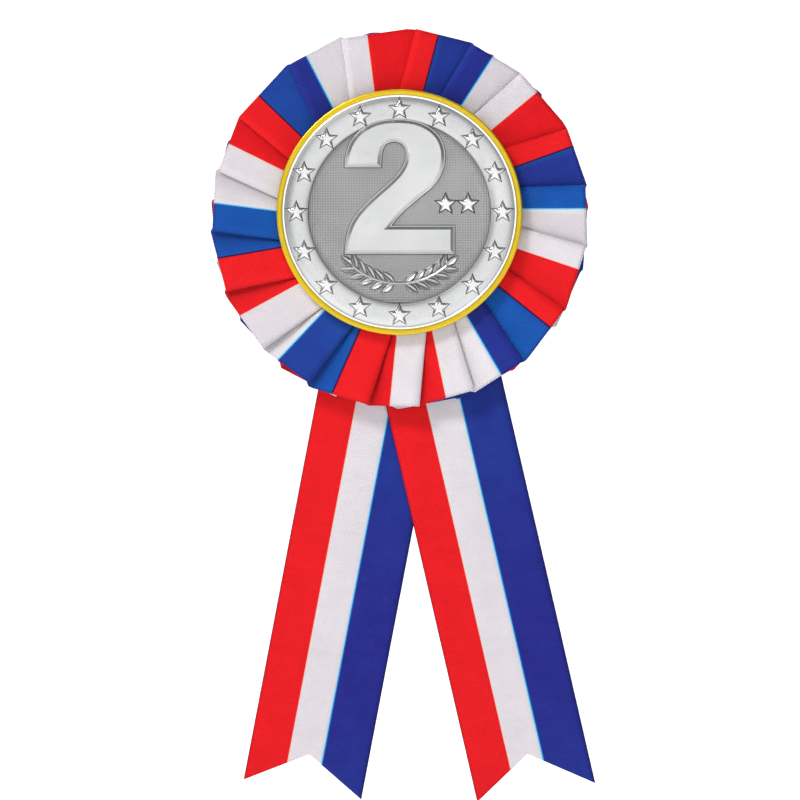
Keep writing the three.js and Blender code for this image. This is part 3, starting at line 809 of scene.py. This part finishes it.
head = [(0.05, 2.3), (0.5, 2.26), (0.82, 2.08), (0.95, 1.8)]
shank = [(r, -h) for r, h in head] + [(0.5, -1.8), (0.5, 1.8)] + head[::-1]
fitted("pin_rivet_turned", [stack(turned(shank, 32), upward, hinge)], nickel, "pin_rivet", "root")

eye = [(1.5, -0.55), (1.5, 0.55), (1.3, 0.8), (0.8, 0.8), (0.65, 0.6), (0.65, -0.6), (0.8, -0.8), (1.3, -0.8)]
wire = [(needle_radius, 1.3), (needle_radius, needle_tip - 4), (0.36, needle_tip - 2.6),
        (0.2, needle_tip - 1.1), (0.03, needle_tip)]
fitted("pin_needle_wire", [stack(turned(eye, 36), upward, hinge, loop=True),
                           stack(turned(wire, 20), along_x, hinge)],
       wire_steel, "pin_needle", "needle")

slot_half = math.degrees(math.asin(slot_width / 2 / barrel_bore))
barrel = arc(barrel_radius, slot_half * 0.75, 360 - slot_half * 0.75, 36) \
    + arc(barrel_bore, 360 - slot_half, slot_half, 30)
tab_turn = math.radians(60)
tab_half = 0.45
tab = []
for x, y in ([(1.3, -tab_half), (3.5, -tab_half)] + arc(tab_half, -60, 60, 6, 3.35)
             + [(3.5, tab_half), (1.3, tab_half)]):
    tab.append((x * math.cos(tab_turn) - y * math.sin(tab_turn),
                x * math.sin(tab_turn) + y * math.cos(tab_turn)))
fitted("pin_catch_barrel", [stack(bevelled(barrel, barrel_length, 0.1), along_x, seat),
                            stack(bevelled(tab, 1, 0.1), along_x, (catch_x - 0.5 * mm, hinge.y, pin_level))],
       nickel, "pin_catch", "catch")

# ---------------------------------------------------------------- foam pad
# A round pad of white closed-cell foam fills the ruffle's hole and holds the medallion off the pleats. It is
# cut from sheet, is sticky on both faces, and bulges a little at its side.
foam_low, foam_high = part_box("foam_pad")
foam_radius = (foam_high[0] - foam_low[0]) / 2 / mm
foam_depth = (foam_high[1] - foam_low[1]) / mm
white_foam = foam_finish("white_foam", (0.58, 0.58, 0.56, 1), (0.86, 0.86, 0.84, 1), 1500)
foam_bulge = 0.12
foam_profile = [(0.5, 0), (foam_radius - 0.35, 0), (foam_radius - 0.1, 0.12)]
foam_profile += [(foam_radius + foam_bulge * math.sin(math.pi * i / 6), between(0.3, foam_depth - 0.3, i / 6))
                 for i in range(7)]
foam_profile += [(foam_radius - 0.1, foam_depth - 0.12), (foam_radius - 0.35, foam_depth), (0.5, foam_depth)]
foam = fitted("foam_pad_disc", [stack(turned(foam_profile, 96), forward, (0, foam_high[1], 0))], white_foam,
              "foam_pad", "root", 60)

# ---------------------------------------------------------------- medallion cup
# A shallow cup spun from brass sheet and gilded. The struck insert sits in it, and its lip is rolled over the
# insert's edge.
gilt = Finish("gilt_brass", metallic=0.9)
place = gilt.place()
x, y, z = gilt.axes(place)
spun = gilt.noise(gilt.stretched(place, (1, 6, 1)), 700, 3)
worn = gilt.noise(place, 160, 4)
leaf_tone = gilt.mix(worn, (0.66, 0.45, 0.018, 1), (0.78, 0.56, 0.030, 1))
gilt.colour(gilt.mix(spun.above(0.6, 0.1) * 0.3, leaf_tone, (0.86, 0.66, 0.08, 1)))
gilt.roughness(0.26 + 0.16 * worn)
gilt.bump(spun, 0.01 * mm)
cup_low, cup_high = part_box("medallion_cup")
rim = (cup_high[0] - cup_low[0]) / 2 / mm
medal_level = (cup_low[2] + cup_high[2]) / 2
cup_depth = (cup_high[1] - cup_low[1]) / mm
lip_radius = rim - 1.5
roll = 0.4
cup_profile = [(0.5, 0), (rim - 0.5, 0), (rim - 0.15, 0.1), (rim, 0.4), (rim, cup_depth - 0.5)]
cup_profile += [(rim - roll + roll * math.cos(a), cup_depth - roll + roll * math.sin(a))
                for a in [math.radians(t) for t in (0, 22, 45, 67, 90)]]
cup_profile += [(lip_radius + 0.35, cup_depth - 0.02), (lip_radius + 0.1, cup_depth - 0.1),
                (lip_radius, cup_depth - 0.3), (lip_radius, cup_depth - 0.5), (rim - 0.75, cup_depth - 0.5),
                (rim - 0.75, 0.8), (0.5, 0.8)]
fitted("medallion_cup_spun", [stack(turned(cup_profile, 160), forward, (0, cup_high[1], medal_level))], gilt,
       "medallion_cup", "root")

# ---------------------------------------------------------------- medallion insert
# A disc struck in white metal and plated in antique silver: a round band with sixteen stars, a cross-ruled
# ground, the figure two, two rank stars and a spray of laurel. Dark patina stays in its corners, and the
# high spots are buffed bright.
insert_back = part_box("medallion_insert")[1][1]
medal_place = (0, insert_back, medal_level)
flange_radius = rim - 0.9
band_outer = lip_radius - 0.64
band_inner = lip_radius - 6.6
band_edge, band_crown = 1.5, 0.34
ground = 0.85


def band_height(radius):
    """The height of the band's crowned face at a radius. Heights on the insert are in mm."""
    share = (radius - band_inner) / (band_outer - band_inner)
    return band_edge + band_crown * max(1 - abs(2 * share - 1) ** 2, 0)


silver = Finish("antique_silver", metallic=0.92)
place = silver.place()
patina = silver.noted("patina")
brush = silver.noise(silver.stretched(place, (1, 1, 0.3)), 1400, 3)
cloud = silver.noise(place, 55, 3)
smudge = silver.noise(place, 420, 4).above(0.62, 0.08)
clean = silver.mix(cloud.above(0.5, 0.25), (0.59, 0.59, 0.595, 1), (0.71, 0.71, 0.705, 1))
clean = silver.mix(smudge * 0.12, clean, (0.40, 0.40, 0.40, 1))
clean = silver.mix(0 - patina, clean, (0.97, 0.97, 0.97, 1))
silver.colour(silver.mix(patina, clean, (0.05, 0.05, 0.052, 1)))
silver.roughness(0.2 + 0.1 * cloud + 0.32 * patina)
silver.bump(brush, 0.002 * mm)


def struck(name, parts, sharp=35):
    """A piece of the insert, from pairs of rings and their tones. A ring has one tone, or a list with one for
    each of its points: 1 is full patina, 0 is bare metal and -1 is polish."""
    skins, marks = [], []
    for rings, tones in parts:
        skins.append(stack(rings, forward, medal_place))
        for ring, tone in zip(rings, tones):
            marks += tone if isinstance(tone, list) else [tone] * len(ring)
    piece = fitted(name, skins, silver, "medallion_insert", "root", sharp)
    note(piece.data, "patina", marks)


# The radius, height and patina of each ring, from the back over the rim to the middle of the ground.
plate_profile = [(0.5, 0, 0), (flange_radius, 0, 0), (flange_radius, 0.8, 0), (lip_radius + 0.15, 0.8, 0.4),
                 (lip_radius + 0.02, 1.5, 0), (lip_radius - 0.06, 1.61, -1), (lip_radius - 0.28, 1.64, -1),
                 (lip_radius - 0.46, 1.62, -1), (lip_radius - 0.6, 1.45, 0.35)]
for i in range(21):
    radius = between(band_outer, band_inner, i / 20)
    plate_profile.append((radius, band_height(radius), [0.3, 0.1, 0][min(i, 20 - i, 2)]))
plate_profile += [(band_inner - 0.08, 1.3, 0.3), (band_inner - 0.16, ground, 1),
                  (band_inner - 0.3, ground, 0.9), (0.5, ground, 0.75)]
struck("medallion_band", [(turned([(radius, height) for radius, height, _ in plate_profile], 192),
                           [tone for _, _, tone in plate_profile])])

rule_pitch = 0.42
rule_half = 0.12
rule_top = 0.065
rule_height = 0.07
furthest_rule = 56


def rule(offset, upright):
    """One fine flat-topped rule across the ground. It is dark along its foot and at its two ends."""
    reach = math.sqrt(band_inner ** 2 - offset ** 2)
    inner = max(reach - 2.4, reach / 2)
    rings, tones = [], []
    for end, worn in ((-reach, 0.45), (-inner, 0), (inner, 0), (reach, 0.45)):
        top = ground + rule_height
        ring = [(end, offset - rule_half, ground, 0.9), (end, offset + rule_half, ground, 0.9),
                (end, offset + rule_top, top, worn), (end, offset - rule_top, top, worn)]
        if upright:
            ring = [(v, u, height, tone) for u, v, height, tone in reversed(ring)]
        rings.append([(u * mm, v * mm, height * mm) for u, v, height, _ in ring])
        tones.append([tone for _, _, _, tone in ring])
    return rings, tones


offsets = [i * rule_pitch for i in range(-furthest_rule, furthest_rule + 1)]
struck("medallion_ground", [rule(offset, upright) for offset in offsets if abs(offset) <= band_inner - 0.3
                            for upright in (False, True)], 20)


def star_outline(radius, steps=3):
    """A five-pointed star, with points along each side."""
    corners = []
    for i in range(10):
        reach = radius * (0.46 if i % 2 else 1)
        corners.append((-reach * math.sin(math.pi * i / 5), reach * math.cos(math.pi * i / 5)))
    return [(between(a[0], b[0], j / steps), between(a[1], b[1], j / steps))
            for a, b in zip(corners, corners[1:] + corners[:1]) for j in range(steps)]


def star(radius, x, z, floor):
    """Rings and tones of a raised star with soft shoulders. floor gives the height below it at a radius."""
    outline = star_outline(radius)
    rings = []
    for into, rise in ((-0.24, -0.12), (-0.06, 0.22), (0.06, 0.36), (0.22, 0.42)):
        edge = [(x + u, z + v) for u, v in inset(outline, into)]
        rings.append([(u, v, floor(math.hypot(u, v)) + rise) for u, v in edge])
    rings.append([(x + 0.45 * u, z + 0.45 * v, floor(math.hypot(x, z)) + 0.47) for u, v in outline])
    return [[(u * mm, v * mm, h * mm) for u, v, h in ring] for ring in rings], [1, 0.9, 0.1, -0.35, -0.35]


star_circle = (band_outer + band_inner) / 2
star_turns = [2 * math.pi * i / 16 for i in range(16)]
struck("medallion_stars", [star(2.7, star_circle * math.sin(turn), star_circle * math.cos(turn), band_height)
                           for turn in star_turns])
struck("medallion_rank_stars", [star(2.6, x, 2.1, lambda radius: ground + 0.5) for x in (11.9, 17.7)])


def curve(start, *controls, steps=12):
    """Points along a cubic curve after its start."""
    points = [Vector(start)] + [Vector(c) for c in controls]
    found = []
    for i in range(1, steps + 1):
        level = points
        while len(level) > 1:
            level = [a.lerp(b, i / steps) for a, b in zip(level, level[1:])]
        found.append(tuple(level[0]))
    return found


numeral_width, numeral_height, numeral_base = 28.2, 34.6, -10.7
# the figure two on a frame 1 wide and 1 high, anticlockwise from its foot
figure = [(-0.5, 0), (0.5, 0), (0.5, 0.205), (-0.08, 0.205)]
figure += curve(figure[-1], (0.03, 0.33), (0.19, 0.42), (0.29, 0.49))
figure += curve(figure[-1], (0.37, 0.55), (0.415, 0.64), (0.415, 0.725))
figure += curve(figure[-1], (0.415, 0.9), (0.24, 1), (-0.02, 1))
figure += curve(figure[-1], (-0.29, 1), (-0.5, 0.89), (-0.5, 0.645))
figure += [(-0.17, 0.645)]
figure += curve(figure[-1], (-0.17, 0.79), (-0.14, 0.835), (-0.05, 0.835))
figure += curve(figure[-1], (0.03, 0.835), (0.06, 0.79), (0.06, 0.735))
figure += curve(figure[-1], (0.06, 0.6), (-0.13, 0.51), (-0.28, 0.39))
figure += curve(figure[-1], (-0.42, 0.28), (-0.49, 0.2), (-0.5, 0))[:-1]
figure = [(x * numeral_width, numeral_base + z * numeral_height) for x, z in figure]
# how far each ring lies inside the figure's edge, its height and its patina
figure_levels = [(-0.34, ground - 0.05, 1), (-0.22, ground + 0.15, 1), (-0.1, 1.95, 0.5), (-0.04, 2.02, 0),
                 (0.1, 2.02, 0), (0.16, 2.0, 0.7), (0.24, 2.06, 0.2), (0.9, 2.76, 0), (0.96, 2.81, 0),
                 (1.2, 2.82, 0)]
struck("medallion_numeral", [(raised(figure, [level[:2] for level in figure_levels]),
                              [level[2] for level in figure_levels])], 14)


def leaf(root, direction, length):
    """Rings along a leaf: a domed blade with a sunk midrib, from its root in a direction in degrees."""
    along = Vector((math.cos(math.radians(direction)), math.sin(math.radians(direction))))
    left = Vector((-along.y, along.x))
    rings = []
    stations = 9
    for i in range(stations + 1):
        t = between(0.03, 0.985, i / stations)
        far = 2 * t * (1 - t) * 0.45 * length + t * t * length
        half = 2 * t * (1 - t) * 1.9
        dome = 0.35 + 0.55 * math.sin(math.pi * t) ** 0.7
        section = [(-half - 0.06, ground - 0.05), (half + 0.06, ground - 0.05), (half, ground + 0.45 * dome),
                   (0.5 * half, ground + dome), (0, ground + 0.72 * dome), (-0.5 * half, ground + dome),
                   (-half, ground + 0.45 * dome)]
        ring = []
        for across, height in section:
            spot = Vector(root) + along * far + left * across
            ring.append((spot.x * mm, spot.y * mm, height * mm))
        rings.append(ring)
    return rings


leaf_tones = [1, 1, 0.45, 0, 0.6, 0, 0.45]
leaf_pairs = 5
laurel_radius = band_inner - 5.25
laurel_sweep = 41
stem_radius = 0.36
laurel = []
for side in (1, -1):
    stem = []
    for i in range(15):
        sweep = math.radians(between(-3, laurel_sweep, i / 14))
        centre = Vector((side * laurel_radius * math.sin(sweep), -laurel_radius * math.cos(sweep)))
        outward = centre.normalized() * -side
        ring = []
        for j in range(8):
            turn = 2 * math.pi * j / 8
            spot = centre + outward * (stem_radius * math.cos(turn))
            ring.append((spot.x * mm, spot.y * mm, (ground + 0.35 + stem_radius * math.sin(turn)) * mm))
        stem.append(ring)
    laurel.append((stem, [0.2] * len(stem)))
    places = [(laurel_sweep * (i + 0.45) / leaf_pairs, turn) for i in range(leaf_pairs) for turn in (-38, 38)]
    for sweep, turn in places + [(laurel_sweep - 1, 0)]:
        root = (side * laurel_radius * math.sin(math.radians(sweep)),
                -laurel_radius * math.cos(math.radians(sweep)))
        blade = leaf(root, 90 - side * (90 - sweep) + turn, 4.6)
        laurel.append((blade, [leaf_tones] * len(blade)))
struck("medallion_laurel", laurel, 40)
